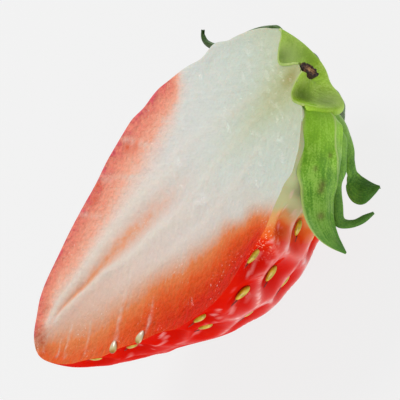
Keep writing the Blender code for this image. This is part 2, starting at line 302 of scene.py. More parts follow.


# Cut strawberry flesh: wet cells, pale in the middle and red towards the skin, with fibres to the skin, and
# painted glints.
fleshLook = {
    "alongCore": (
        (0.0, "#d4aa96"), (0.18, "#e0bba8"), (0.36, "#e4d2c6"), (0.52, "#e0d9d2"), (0.7, "#d9dcd5"),
        (0.88, "#ced6c8"), (1.0, "#c4ccac"),
    ),
    "coral": (
        (0.0, "#eed4c6"), (0.3, "#f5c8b4"), (0.5, "#f8b298"),
        (0.72, "#f69a80"), (0.9, "#ef8674"), (1.0, "#e2626a"),
    ),
    "red": (
        (0.0, "#dcb8a0"), (0.2, "#df9c74"), (0.4, "#e8824a"),
        (0.6, "#e85c20"), (0.85, "#e23a04"), (1.0, "#e12402"),
    ),
    "leafy": ((0.0, "#c6cfa8"), (0.5, "#b6bc7c"), (1.0, "#9c9042")),
    "trough": (1.0, "#ea9a6e"),  # how strongly it shows, and its colour
    "blush": (0.55, "#dcb6a2"),
    "pale": (0.65, "#e6dccf"),
    "rust": (1.0, "#b4502c"),
    "ember": (1.0, "#d85a2c"),
    # painted glints: how strongly they show, and their colour
    "glintSpecks": (0.6, "#f6e2d4"),
    # sizes are in millimetres
    "cellSize": 0.35,  # twice as coarse as the real cells, so that they show
    "lumpSize": 0.8,
    "glintSize": 0.22,
    "glintPatchSize": 3.0,
    "fibreScale": (1.7, 0.4, 1.0),  # across the fibres and along them
    "depth": 0.46,
}


def makeFlesh(look):
    attributes = "along core coral blush red pale leafy rust ember fibreAcross fibreAlong"
    material, shader, add, read = newMaterial("cutStrawberryFlesh", attributes)
    along, core, coral, blush, red, pale, leafy, rust, ember, fibreAcross, fibreAlong = read
    place = fruitPlace(add)
    grain = add("TexNoise", {"Vector": place, "Scale": 1 / look["cellSize"], "Detail": 2})
    lumps = add("TexNoise", {"Vector": place, "Scale": 1 / look["lumpSize"], "Detail": 4, "Roughness": 0.6})
    fibreWay = add("CombineXYZ", (fibreAcross, fibreAlong))
    threads = add("Mapping", {"Vector": fibreWay, "Scale": look["fibreScale"]})
    fibre = add("TexNoise", {"Vector": threads, "Scale": 1, "Detail": 4, "Roughness": 0.6})
    # fibres fade out along the middle line and in the coral
    offCoral = add("Math", (coral, -0.8, 1.0), operation="MULTIPLY_ADD", use_clamp=True)
    offCentre = add("Math", (add("MapRange", (fibreAlong, 0.4, 2.5)), offCoral), operation="MULTIPLY")
    fibre = add("Math", (fibre, 0.5), operation="SUBTRACT")
    fibre = add("Math", (fibre, offCentre, 0.5), operation="MULTIPLY_ADD")
    uneven = add("Math", (lumps, 0.5), operation="MULTIPLY")
    uneven = add("Math", (fibre, 0.7, uneven), operation="MULTIPLY_ADD")
    uneven = add("Math", (uneven, 0.6), operation="SUBTRACT")

    # every colour is stronger where the flesh is lumpy, which makes its edge ragged
    coreLumps = add("Math", (lumps, 1.6, 0.0), operation="MULTIPLY_ADD")
    roughCore = add("Math", (core, coreLumps), operation="MULTIPLY", use_clamp=True)
    coralBase = add("Math", (coral, 0.97), operation="MULTIPLY")
    coralLumps = add("Math", (uneven, coral), operation="MULTIPLY")
    coralHere = add("Math", (coralLumps, 1.3, coralBase), operation="MULTIPLY_ADD", use_clamp=True)
    nearRed = add("Math", (red, 1.6), operation="MULTIPLY", use_clamp=True)
    redLumps = add("Math", (uneven, nearRed), operation="MULTIPLY")
    redHere = add("Math", (redLumps, 0.5, red), operation="MULTIPLY_ADD", use_clamp=True)
    rustGrain = add("Math", (grain, 1.6, -0.1), operation="MULTIPLY_ADD")
    emberGrain = add("Math", (grain, 2.2, -0.5), operation="MULTIPLY_ADD")
    base = layered(
        add,
        add("ValToRGB", (along,), stops=look["alongCore"]),
        (roughCore, *look["trough"]),
        (coralHere, 2.0, add("ValToRGB", (coralHere,), stops=look["coral"])),
        (blush, *look["blush"]),
        (redHere, 2.6, add("ValToRGB", (redHere,), stops=look["red"])),
        (pale, *look["pale"]),
        (leafy, 1.0, add("ValToRGB", (leafy,), stops=look["leafy"])),
        (add("Math", (rust, rustGrain), operation="MULTIPLY", use_clamp=True), *look["rust"]),
        (add("Math", (ember, emberGrain), operation="MULTIPLY", use_clamp=True), *look["ember"]),
    )
    # cells are lighter and darker, most of all in the ripe flesh
    ripeSide = add("Math", (coral, red), operation="ADD", use_clamp=True)
    speckDepth = add("Math", (ripeSide, 0.42, 0.12), operation="MULTIPLY_ADD")
    speck = add("Math", (add("Math", (grain, 0.5), operation="SUBTRACT"), speckDepth), operation="MULTIPLY")
    shade = add("Math", (speck, add("Math", (uneven, 0.22), operation="MULTIPLY")), operation="ADD")
    base = add("HueSaturation", {"Value": add("Math", (shade, 1.0), operation="ADD"), "Color": base})
    # painted glints: small bright specks in clumps
    glintSpecks = add("TexNoise", {"Vector": place, "Scale": 1 / look["glintSize"], "Detail": 2})
    glintClumps = add("TexNoise", {"Vector": place, "Scale": 1 / look["glintPatchSize"], "Detail": 1})
    glintSpecks = add("MapRange", (glintSpecks, 0.64, 0.72))
    glintBeads = add("Math", (glintSpecks, add("MapRange", (glintClumps, 0.5, 0.66))), operation="MULTIPLY")
    height = add("Math", (grain, 0.55), operation="MULTIPLY")
    height = add("Math", (lumps, 1.3, height), operation="MULTIPLY_ADD")
    height = add("Math", (add("Math", (fibre, 0.6), operation="MULTIPLY"), height), operation="ADD")
    bumpShare = add("Math", (ripeSide, 0.68, 0.32), operation="MULTIPLY_ADD")  # the pale core is smoother
    fillSockets(shader, {
        "Base Color": layered(add, base, (glintBeads, *look["glintSpecks"])),
        "Roughness": 0.5,
        "Specular IOR Level": 0.05,
        "Coat Weight": 0.22,
        "Coat Roughness": 0.1,
        "Coat IOR": 1.33,
        "Subsurface Weight": 0.25,
        "Subsurface Radius": (1.0, 0.4, 0.25),
        "Subsurface Scale": 0.8 * mm,
        "Normal": add("Bump", {"Strength": bumpShare, "Distance": look["depth"] * mm, "Height": height}),
    })
    return material


def makePlain(name, lump, tones, roughness, coat=0.0):  # tones in lumps of a width in millimetres
    material, shader, add, _ = newMaterial(name)
    tone = add("TexNoise", {"Vector": fruitPlace(add), "Scale": 1 / lump, "Detail": 2})
    base = add("ValToRGB", (tone,), stops=tones)
    fillSockets(shader, {"Base Color": base, "Roughness": roughness, "Coat Weight": coat})
    return material


# Seed coat cut open: cream and smooth, browner at its blunt end.
def makeKernel():
    material, shader, add, read = newMaterial("creamSeedKernel", "blunt")
    stops = ((0.0, "#d0a890"), (0.3, "#d6c6a8"), (0.65, "#d4c48c"), (0.85, "#b08a30"), (1.0, "#8a5a16"))
    base = add("ValToRGB", read, stops=stops)
    fillSockets(shader, {"Base Color": base, "Roughness": 0.25, "Coat Weight": 0.5})
    return material


# Sepal: a fresh leaf with a satin cuticle, fine veins along it, a pale fold vein with a painted highlight,
# and tan specks where bruised. Painted light brightens its foot; darker copies are painted shade, and spots
# of painted highlight and painted shade can lie on it.
leafLook = {
    # three tones, then the tip and the foot; the foot's lighter tone is painted light
    "freshSepal": ("#58921a", "#7ab02c", "#9ccc50", "#3e6e28", "#9cd034"),
    "calyxHubSkin": ("#92ba2a", "#acd43c", "#c6e468", "#a2d036", "#a8c44e"),
    # darker copies of the sepal colours, for sepals that lie in shade: painted shade, the second deeper than
    # the first
    "shadedSepal": ("#4e8030", "#6ca03c", "#82b644", "#3c6a26", "#86b43e"),
    "deepShadeSepal": ("#2c4c16", "#406822", "#5a8030", "#365826", "#40641f"),
    "tonePlaces": (0.43, 0.5, 0.57),
    "tipAndLitFoot": (0.8, 0.6),
    "fold": (0.6, "#c3d08c"),  # a pale vein along the fold with a painted highlight on it: how strongly it shows, and its colour
    "rim": (0.75, "#b7c472"),
    "bruise": (0.8, "#5d4a22"),
    # painted highlight on the hub: how strongly it shows, and its colour
    "bloom": (1.0, "#bcd67e"),
    # painted shade in the hub's furrow: how strongly it shows, and its colour
    "furrow": (1.0, "#4f6a12"),
    "veinScale": (4.0, 16.0, 1.0),  # along the blade and across it, coarser than the finest veins
    "patchSize": 1.5,  # sizes are in millimetres
    "grainSize": 0.16,
    "depth": 0.08,
}


def makeLeaf(name, look, fold=0.0):
    material, shader, add, (bruise, bloom, furrow) = newMaterial(name, "bruise bloom furrow")
    uv = add("UVMap", uv_map="UVMap")
    along, across = (add("SeparateXYZ", (uv,), way) for way in "XY")
    stretched = add("Mapping", {"Vector": uv, "Scale": look["veinScale"]})
    vein = add("TexNoise", {"Vector": stretched, "Scale": 1, "Detail": 4, "Roughness": 0.6})
    place = fruitPlace(add)
    patch = add("TexNoise", {"Vector": place, "Scale": 1 / look["patchSize"], "Detail": 3})
    grain = add("TexNoise", {"Vector": place, "Scale": 1 / look["grainSize"], "Detail": 2})
    tone = add("Math", (grain, 0.3), operation="MULTIPLY")
    tone = add("Math", (patch, 0.3, tone), operation="MULTIPLY_ADD")
    tone = add("Math", (add("Math", (vein, 0.4), operation="MULTIPLY"), tone), operation="ADD")
    *tones, atTip, litFoot = look[name]
    tipShare, footLightShare = look["tipAndLitFoot"]
    base = layered(
        add,
        add("ValToRGB", (tone,), stops=tuple(zip(look["tonePlaces"], tones))),
        (add("MapRange", (along, 0.35, 0.95)), tipShare, atTip),
        # a lighter tone towards the foot: painted light
        (add("MapRange", (along, 0.42, 0.08)), footLightShare, litFoot),
    )
    # a pale vein line along the fold, brightened by painted highlight
    if fold:
        drift = add("MapRange", (along, 0.25, 0.5))
        foldPlace = add("Math", (drift, 0.98 - fold, fold), operation="MULTIPLY_ADD")
        offFold = add("Math", (add("Math", (across, foldPlace), operation="SUBTRACT"),), operation="ABSOLUTE")
        foldLine = add("MapRange", (offFold, 0.035, 0.0))
        foldEnds = add("MapRange", (along, 0.55, 0.35))
        foldVeinHighlight = add("Math", (foldLine, foldEnds), operation="MULTIPLY")
        rim = add("MapRange", (across, 0.075, 0.02))
        base = layered(add, base, (foldVeinHighlight, *look["fold"]), (rim, *look["rim"]), (bruise, *look["bruise"]))
    height = add("Math", (grain, 0.5), operation="MULTIPLY")
    height = add("Math", (vein, 0.8, height), operation="MULTIPLY_ADD")
    fillSockets(shader, {
        # spots of painted highlight and painted shade over the leaf colour
        "Base Color": layered(add, base, (bloom, *look["bloom"]), (furrow, *look["furrow"])),
        "Roughness": 0.42,
        "Specular IOR Level": 0.22,
        "Subsurface Weight": 0.12,
        "Subsurface Radius": (0.5, 1.0, 0.1),
        "Subsurface Scale": 0.4 * mm,
        "Normal": add("Bump", {"Strength": 0.6, "Distance": look["depth"] * mm, "Height": height}),
    })
    return material


# Dried stalk: torn brown fibres that run along it.
def makeStalk():
    material, shader, add, (heart,) = newMaterial("tornDryStalk", "heart")
    place = fruitPlace(add, (0.3, 1, 1))
    threads = add("TexNoise", {"Vector": place, "Scale": 1 / 0.22, "Detail": 4, "Roughness": 0.65})
    darker = add("Math", (threads, 0.08), operation="SUBTRACT")
    torn = add("Math", (heart, 0.3, darker), operation="MULTIPLY_ADD")
    stops = ((0.3, "#1c120d"), (0.5, "#3f2417"), (0.62, "#8d623c"), (0.75, "#c79a63"))
    base = add("ValToRGB", (torn,), stops=stops)
    bump = add("Bump", {"Strength": 0.8, "Distance": 0.1 * mm, "Height": threads})
    fillSockets(shader, {"Base Color": base, "Roughness": 0.75, "Normal": bump})
    return material


skinFinish = makeSkin(skinLook)
fleshFinish = makeFlesh(fleshLook)
kernelFinish = makeKernel()
leafFinish = makeLeaf("freshSepal", leafLook, 0.72)
hubFinish = makeLeaf("calyxHubSkin", leafLook)
shadeLeafFinish = makeLeaf("shadedSepal", leafLook)
farShadeLeafFinish = makeLeaf("deepShadeSepal", leafLook)
stalkFinish = makeStalk()
# Achene wall: a hard dry shell, golden and half gloss.
acheneTones = ((0.3, "#a08a10"), (0.5, "#c4ac18"), (0.7, "#d6c03a"))
acheneFinish = makePlain("goldenAcheneShell", 0.5, acheneTones, 0.35, coat=0.4)
# Dried style: a brown thread left over from the flower.
styleFinish = makePlain("driedStyleThread", 0.3, ((0.3, "#3a120a"), (0.7, "#6e2c14")), 0.5)
# Leaf edge: the pale tissue that shows where a sepal turns its edge.
edgeFinish = makePlain("paleSepalEdge", 0.8, ((0.35, "#96b444"), (0.65, "#b2c668")), 0.45)
print("materials made")

flesh = {
    # x, reach right, down and left, and how far x leans forward to the left; the ends only shape the curve
    "ribs": (
        (0.7, -2.1, -2.1, -2.4, 0.0),
        (0.0, 0.0, 0.0, 0.0, 0.0),
        (0.7, 2.1, 2.2, 2.4, 0.0),
        (3.0, 4.6, 5.2, 5.1, 0.0),
        (7.0, 7.3, 8.2, 7.5, 0.0),
        (12.0, 9.6, 11.2, 9.8, 0.0),
        (18.0, 12.3, 13.3, 12.2, 0.0),
        (24.0, 13.5, 13.5, 13.3, 0.0),
        (30.0, 12.0, 11.9, 11.9, 0.0),
        (34.5, 9.4, 9.6, 10.3, 0.02),
        (37.6, 6.5, 6.5, 8.4, 0.05),
        (39.3, 3.9, 3.8, 6.3, 0.1),
        (39.6, 3.2, 3.1, 5.4, 0.1),
    ),
    # the hollow round the stem: how far out to the shoulder's edge, and how far x stands from that edge
    "hollowRight": (
        (1.15, -0.4), (1.0, 0.0), (0.93, 0.3), (0.85, 0.45), (0.725, 0.5), (0.6, 0.15), (0.51, -0.12),
        (0.353, -0.42), (0.275, -0.2), (0.216, 0.3), (0.14, 1.05), (0.0, 1.45), (-0.12, 1.3),
    ),
    "hollowUnder": (
        (1.1, 0.1), (1.0, 0.0), (0.86, -0.25), (0.72, -0.5), (0.6, -0.68), (0.5, -0.78), (0.4, -0.8),
        (0.33, -0.75), (0.28, -0.6), (0.24, 0.1), (0.2, 0.9), (0.0, 1.45), (-0.2, 0.9),
    ),
    "hollowLeft": (
        (1.15, -0.1), (1.0, 0.0), (0.96, 0.38), (0.767, 0.1), (0.65, -0.5), (0.533, -0.74), (0.4, -0.67),
        (0.333, -0.34), (0.267, 0.28), (0.2, 0.8), (0.117, 1.32), (0.0, 1.45), (-0.117, 1.32),
    ),
    "stemSide": 0.3,
    "shoulderBack": 0.45,
    "skinAlong": 200,
    "skinRound": 160,
    "faceAcross": 128,
    "leanStarts": 0.8,
    "flatDepth": 12.75,
    "dimple": (0.75, 1.55),  # the broad dip round an achene: depth and radius
    "pit": (0.35, 0.8),  # the pit it sits in
    "stretch": 0.72,  # dips are longer lengthwise
    "wave": (0.12, 5.0),  # slow unevenness of the skin: height and size
    # how the rim of the cut strays from the even form, by x
    "leftStray": (
        (17.0, 0.0), (19.8, 0.15), (22.2, -0.4), (25.0, 0.0), (28.5, 0.0), (30.3, -0.2),
        (32.5, 0.55), (34.2, 0.0),
    ),
    "rightStray": (
        (14.0, 0.0), (19.0, 0.45), (22.5, 0.1), (27.0, -0.25), (31.0, -0.1), (33.0, -0.25), (34.5, -0.05),
        (36.6, 0.95), (38.4, 1.1), (39.3, 0.9),
    ),
}
achenes = {
    "onWholeFruit": 156,
    "turn": math.radians(137.508),
    "start": math.radians(20),
    "size": (1.8, 0.68, 0.6),
    "clearOfCut": 0.75,
    "clearOfFlat": (5.6, 0.9),
    "lastX": 33.5,
    "spacing": 3.1,
    # those just under the right-hand edge of the cut: place along the skin and turn down from the edge
    "alongEdge": (
        (0.664, 4.5), (0.6, 12.5), (0.641, 22), (0.728, 26), (0.735, 13),
        (0.524, 4.4), (0.498, 15), (0.459, 5.5), (0.368, 8.0),
    ),
    "lost": (4, 7),  # these pits have lost their achenes
    "sink": 0.8,
    "growth": (0.88, 1.08),
    "twist": 14,
    "taper": 0.18,
    "threadLength": (0.5, 1.1),
    "threadRadii": (0.055, 0.02),
    "threadTilt": 12,
}


def smoothSkin(t, turn):
    x, right, down, left, lean = onCurve(flesh["ribs"], t)
    nearCut = abs(math.cos(turn)) ** 6
    right += eased(flesh["rightStray"], x) * nearCut
    left += eased(flesh["leftStray"], x) * nearCut
    y = -math.cos(turn) * (right if turn < math.pi / 2 else left)
    return Vector((x + lean * y, y, -down * math.sin(turn)))


def skinFrame(t, turn, step=0.001):
    lengthwise = (smoothSkin(t + step, turn) - smoothSkin(t - step, turn)).normalized()
    crosswise = smoothSkin(t, turn + step) - smoothSkin(t, turn - step)
    return smoothSkin(t, turn), lengthwise, crosswise.cross(lengthwise).normalized()


def evenPlaces(count, fine=600):  # values of t that split the keel of the fruit into equal lengths
    lengths = [0.0]
    before = smoothSkin(0, math.pi / 2)
    for i in range(1, fine + 1):
        here = smoothSkin(i / fine, math.pi / 2)
        lengths.append(lengths[-1] + (here - before).length)
        before = here
    places = []
    at = 0
    for i in range(count + 1):
        while at < fine and lengths[at] < lengths[-1] * i / count:
            at += 1
        places.append(at / fine)
    return places


def achenePlaces():  # one spiral over the whole fruit, less the half that is cut away
    places = evenPlaces(300)
    girths = [-smoothSkin(t, math.pi / 2).z for t in places]
    found = [(t, math.radians(turn)) for t, turn in achenes["alongEdge"]]
    taken = [smoothSkin(t, turn) for t, turn in found]
    flatWide, flatDeep = achenes["clearOfFlat"]
    covered = 0.0
    number = 0
    for t, girth in zip(places, girths):
        covered += girth
        while covered >= sum(girths) * (number + 0.5) / achenes["onWholeFruit"]:
            turn = (achenes["start"] + number * achenes["turn"]) % (2 * math.pi)
            number += 1
            if turn >= math.pi:
                continue
            point = smoothSkin(t, turn)
            onFlat = abs(point.y) < flatWide and -point.z > flesh["flatDepth"] - flatDeep
            if -point.z < achenes["clearOfCut"] or point.x > achenes["lastX"] or onFlat:
                continue
            if min((point - other).length for other in taken) > achenes["spacing"]:
                found.append((t, turn))
    return found


seedPlaces = achenePlaces()
seedFrames = [skinFrame(t, turn) for t, turn in seedPlaces]
seedTree = searchTree([point for point, _, _ in seedFrames])
skinPlaces = evenPlaces(flesh["skinAlong"], 4000)
print("achenes placed:", len(seedPlaces))


def fromSeed(point, index):  # how far a point is from an achene, along it and across it
    middle, lengthwise, _ = seedFrames[index]
    away = point - middle
    lie = away.dot(lengthwise)
    return lie, math.sqrt(max(away.length_squared - lie * lie, 0.0))


def seedReaches(point):  # from the four nearest achenes, nearest first, as the stretched dips count it
    fromSeeds = [fromSeed(point, index) for _, index, _ in seedTree.find_n(point, 4)]
    return sorted(math.hypot(wide, lie * flesh["stretch"]) for lie, wide in fromSeeds)


def dips(point):  # how deep the skin lies at a point: its broad dimples and its pits
    nearest = seedReaches(point)[0]
    return [math.exp(-((nearest / flesh[dip][1]) ** 4)) for dip in ("dimple", "pit")]


def dipShare(point):  # dips are shallower at the edge of the cut
    return 0.3 + 0.7 * easeStep(0.0, 1.7, -point.z)


def skinPoint(u, v):
    t = skinPlaces[round(u * flesh["skinAlong"])]
    turn = math.pi * v
    point, _, normal = skinFrame(t, turn)
    if u > 0:
        broad, narrow = dips(point)
        fade = easeStep(0.0, 2.0, point.x) * easeStep(39.5, 36.0, point.x)
        wave = noise.noise(point / flesh["wave"][1]) * flesh["wave"][0]
        depth = broad * flesh["dimple"][0] + narrow * flesh["pit"][0]
        point = point + normal * (wave - depth * dipShare(point)) * fade
    point.x -= flesh["shoulderBack"] * easeStep(37.6, 39.3, point.x) * easeStep(0.2, 1.0, -point.z)
    point.z = 0.0 if v in (0, 1) else min(max(point.z, -flesh["flatDepth"]), -0.02)
    return point


def hollowPoint(s, v, rim):
    middle = Vector(((rim[0].x + rim[-1].x) / 2, flesh["stemSide"], 0))
    side = "hollowRight" if v < 0.5 else "hollowLeft"
    under = Vector(onCurve(flesh["hollowUnder"], s))
    out, rise = under.lerp(Vector(onCurve(flesh[side], s)), easeStep(0.2, 0.5, abs(v - 0.5)))
    return middle.lerp(rim[round(v * flesh["skinRound"])], out) + Vector((rise, 0, 0))


# The relief of the cut face. Lines are lists of points with, last, how wide the line is there.
cutRelief = {
    "ridges": (
        (
            (2.3, 1.6, 0.5), (4.4, 2.2, 0.65), (7.3, 2.7, 0.8), (10.4, 3.2, 1.0), (13.2, 3.7, 1.1),
            (18.0, 4.2, 1.2), (23.0, 3.6, 1.3),
        ),
        (
            (3.4, 0.9, 0.5), (4.9, 0.9, 0.55), (8.0, 0.6, 0.55), (11.5, 0.2, 0.55), (15.4, -0.8, 0.7),
            (19.0, -1.0, 0.8), (24.0, -2.3, 0.9),
        ),
    ),
    "streaks": (
        ((21.0, -1.4, 0.5), (27.1, -0.4, 0.7), (31.8, 0.0, 0.7), (36.4, 0.3, 0.5)),
        ((16.0, -4.0, 0.4), (22.0, -4.6, 0.6), (28.0, -4.4, 0.6), (34.0, -2.6, 0.4)),
        ((19.0, 5.4, 0.4), (25.0, 4.6, 0.7), (31.0, 3.4, 0.7), (36.0, 1.8, 0.4)),
    ),
    "ridgeHeight": 0.26,
    "trough": ((
        (3.9, 1.4, 0.35), (6.1, 1.5, 0.55), (8.8, 1.5, 0.65), (10.9, 1.7, 0.8), (14.7, 1.8, 1.2),
        (20.0, 1.5, 1.5), (26.0, 0.8, 1.5),
    ),),
    "troughDepth": 0.1,
    "bundleHeight": 0.05,
    "streakHeight": 0.09,
    "ripple": (0.1, (0.5, 0.25)),  # height, and how close it lies along and across the fruit
    "crumb": (0.07, (1.9, 1.1)),
    "sunk": 0.2,  # how far the cut lies under its rim
    "bundles": (
        ((9.8, -7.3, 0.28), (11.1, -5.4, 0.26), (13.2, -3.1, 0.2), (15.0, -1.6, 0.12)),
        ((0.7, -0.9, 0.18), (1.3, -0.3, 0.18), (2.2, 0.4, 0.1)),
        ((2.1, -2.8, 0.16), (2.6, -2.4, 0.14), (3.4, -1.5, 0.08)),
        ((3.1, -3.7, 0.2), (4.3, -2.1, 0.2), (5.3, -1.3, 0.12)),
        ((5.7, -5.5, 0.2), (6.5, -4.4, 0.2), (7.6, -2.9, 0.12)),
        ((13.7, -9.6, 0.2), (14.7, -8.4, 0.2), (15.8, -7.0, 0.1)),
        ((13.3, 11.4, 0.3), (14.6, 9.9, 0.4), (16.4, 8.4, 0.4), (18.7, 6.4, 0.3)),
        ((18.2, 12.0, 0.3), (19.0, 11.1, 0.35), (20.2, 9.5, 0.3), (21.6, 7.6, 0.2)),
        ((9.9, 9.6, 0.2), (11.0, 8.3, 0.25), (12.6, 6.6, 0.2)),
    ),
}


def lineTree(lines, fine=60):  # a search tree of points on the lines, and their widths
    points = [onCurve(withEnds(line), i / fine) for line in lines for i in range(fine + 1)]
    return searchTree([(x, y, 0) for x, y, _ in points]), [width for _, _, width in points]


def nearLine(lines, x, y):
    tree, widths = lines
    _, index, far = tree.find((x, y, 0))
    return hump(far, 0, widths[index])


ridgeLines, troughLines, bundleLines, streakLines = (
    lineTree(cutRelief[kind]) for kind in ("ridges", "trough", "bundles", "streaks")
)


def faceHeight(x, y):
    tail = easeStep(1.0, 7.0, x)  # the ridges sink into the flesh towards the tip
    ridge = nearLine(ridgeLines, x, y) * cutRelief["ridgeHeight"] * (0.3 + 0.7 * tail)
    trough = nearLine(troughLines, x, y) * cutRelief["troughDepth"] * tail
    bundle = nearLine(bundleLines, x, y) * cutRelief["bundleHeight"]
    streak = nearLine(streakLines, x, y) * cutRelief["streakHeight"]
    ripple, crumb = (
        noise.noise(Vector((x * close[0], y * close[1], start))) * height
        for (height, close), start in ((cutRelief["ripple"], 0), (cutRelief["crumb"], 3))
    )
    return ridge + bundle + streak - trough + ripple + crumb - cutRelief["sunk"]


def facePoint(u, v, rows, lastRow):
    number = round(u * flesh["skinAlong"])
    right, left = rows[number]
    nearTop = max(0.0, (number / flesh["skinAlong"] - flesh["leanStarts"]) / (1 - flesh["leanStarts"])) ** 2
    end = lastRow(v)
    first, last = lastRow(0), lastRow(1)
    endAcross = (end.y - first.y) / (last.y - first.y)
    point = right.lerp(left, v).lerp(right.lerp(left, endAcross), nearTop)
    point.x += (end.x - first.lerp(last, endAcross).x) * nearTop
    if 0 < v < 1 and 0 < u < 1:
        edge = min(point.y - right.y, left.y - point.y)
        stem = (end - point).length if nearTop > 0 else 9.0
        point.z = faceHeight(point.x, point.y) * easeStep(0, 1.6, edge) * easeStep(0, 1.5, stem)
    return point


def makeFleshPiece():
    along, steps, across = (flesh[k] for k in ("skinAlong", "skinRound", "faceAcross"))
    skin = shapedGrid("skin", along, steps, skinPoint, skinFinish)
    rim = [skinPoint(1, i / steps) for i in range(steps + 1)]
    rows = [(skinPoint(i / along, 0), skinPoint(i / along, 1)) for i in range(along + 1)]
    rows[0] = (smoothSkin(0, 0), smoothSkin(0, 0))

    def lastRow(v):
        return hollowPoint(1 - abs(2 * v - 1), 0 if v < 0.5 else 1, rim)

    hollow = shapedGrid("hollow", across // 2, steps, lambda s, v: hollowPoint(s, v, rim), fleshFinish)
    face = shapedGrid("cut", along, across, lambda u, v: facePoint(u, v, rows, lastRow), fleshFinish)
    piece = joined("strawberryFlesh", [skin, hollow, face])
    editMesh(piece, mergeDoubles, dissolveSlivers, outwards)
    return piece


# Colours of the cut face. Reaches are how far a colour runs in from the rim, in mm, by place along x.
cutColour = {
    "redReach": ((0, 3.4), (6, 4.9), (11, 5.9), (17, 6.9), (22, 7.4), (26, 6.0), (29, 4.0), (33, 1.2)),
    "coralReach": ((0, 2.4), (4, 3.4), (9, 6.0), (14, 7.2), (20, 8.0), (24, 6.4), (27, 3.6), (32, 1.0)),
    "redAtTip": 0.56,
    "redGrows": (6, 21),
    "redEnds": (33.8, 28.8),
    "blushEnds": (35, 30),
    "coralEnds": (28.5, 25.5),
    "coreEnds": (26, 14),
    "ridgeEnds": (27, 19),
    "streakShare": 0.4,
    "strandShare": 0.62,
    "length": 40.0,
    "deepest": -3.0,  # the inside of the hollow has none of the rim's colours
    # dabs: how strong, then the place along x and the size, then the same along y
    "leafy": ((0.68, (40.2, 9.5), (0.3, 3.4)), (0.85, (39.2, 2.6), (0.6, 1.9))),
    "inHollow": 0.4,
    "rust": ((1.0, (0.9, 0.9), (0.5, 1.5)), (0.5, (2.7, 0.5), (3.2, 0.5))),
    "embers": (
        (1.0, (18.4, 0.5), (10.8, 0.5)), (0.9, (19.4, 0.45), (10.0, 0.45)),
        (0.9, (13.5, 0.6), (9.9, 0.6)), (0.7, (12.6, 0.6), (8.9, 0.6)),
    ),
}


def dab(x, y, share, alongX, alongY):
    return share * hump(x, *alongX) * hump(y, *alongY)


def faceColours(piece, rimPoints):
    rim = searchTree(rimPoints)
    deepest = cutColour["deepest"]

    def fromRim(x, y, reach, start=1.0):  # from start at the rim to 0 where the reach ends
        return min(max(start - rim.find((x, y, 0))[2] / max(reach, 0.1), 0.0), 1.0)

    def red(x, y, z):
        if z < deepest or y > 3:
            return 0.0
        atTip = cutColour["redAtTip"]
        strength = atTip + (1 - atTip) * easeStep(*cutColour["redGrows"], x)
        fade = easeStep(2.0, -1.5, y) * easeStep(*cutColour["redEnds"], x)
        return strength * fade * fromRim(x, y, eased(cutColour["redReach"], x), 1.15)

    def blush(x, y, z):  # the pale flesh warms before it turns red
        if z < deepest or y > 2:
            return 0.0
        fade = easeStep(2.0, -1.5, y) * easeStep(*cutColour["blushEnds"], x)
        return fade * fromRim(x, y, 2.1 * eased(cutColour["redReach"], x) + 0.5)

    def coral(x, y, z):
        if z < deepest or y < -1:
            return 0.0
        fade = easeStep(-0.5, 1.5, y) * easeStep(*cutColour["coralEnds"], x)
        return fade * fromRim(x, y, eased(cutColour["coralReach"], x))

    def core(x, y, z):
        return nearLine(troughLines, x, y) * easeStep(1.5, 4, x) * easeStep(*cutColour["coreEnds"], x)

    def strand(x, y):  # bundles are fine and uneven
        off = noise.noise(Vector((x * 1.1, y * 1.1, 8))) * 0.22
        share = 0.6 + noise.noise(Vector((x * 1.7, y * 1.7, 2)))
        return nearLine(bundleLines, x + off, y - off * 0.5) * share

    def pale(x, y, z):
        ridge = nearLine(ridgeLines, x, y) * easeStep(*cutColour["ridgeEnds"], x)
        streak = nearLine(streakLines, x, y) * cutColour["streakShare"]
        return max(0.0, ridge, streak, strand(x, y) * cutColour["strandShare"])

    def leafy(x, y, z):  # green under the stem
        return max(dab(x, y, *one) for one in cutColour["leafy"]) if z > deepest else cutColour["inHollow"]

    def rust(x, y, z):  # the dry tip, and a speck beside it
        return sum(dab(x, y, *one) for one in cutColour["rust"])

    def ember(x, y, z):  # deeper dabs in the coral
        return max(dab(x, y, *one) for one in cutColour["embers"])

    def along(x, y, z):
        return x / cutColour["length"]

    def fibreAlong(x, y, z):
        return abs(y - 1)

    def fibreAcross(x, y, z):  # fibres lean to the stem, less so on the right
        return x - 0.8 * (y - 1) if y < 1 else x + 1.2 * (y - 1) + 60

    for measure in (red, blush, coral, core, pale, leafy, rust, ember, along, fibreAlong, fibreAcross):
        floatAttribute(piece, measure.__name__, measure)


# Where the colours of the skin lie.
skinColour = {
    # how ripe it is, by x
    "ripeness": ((0, 1.0), (27.8, 1.0), (29.3, 0.78), (30.6, 0.58), (31.8, 0.42), (32.9, 0.26), (36.3, 0.0)),
    "crestHighlights": ((0.34, 0.6), (1.0, 0.17)),  # painted highlight on the ridges between two pits: how bright it is, and how wide
    # how strong the patches of painted sheen near the cut are
    "paintedSheen": 0.5,
    "glintPatchPlace": (1.0, (29.6, 1.9), (-0.9, 1.1)),  # where the painted glints lie: a dab along x and down z
    "stain": (0.85, 1.3, 0.95),  # how strong it is, how long and how wide
}


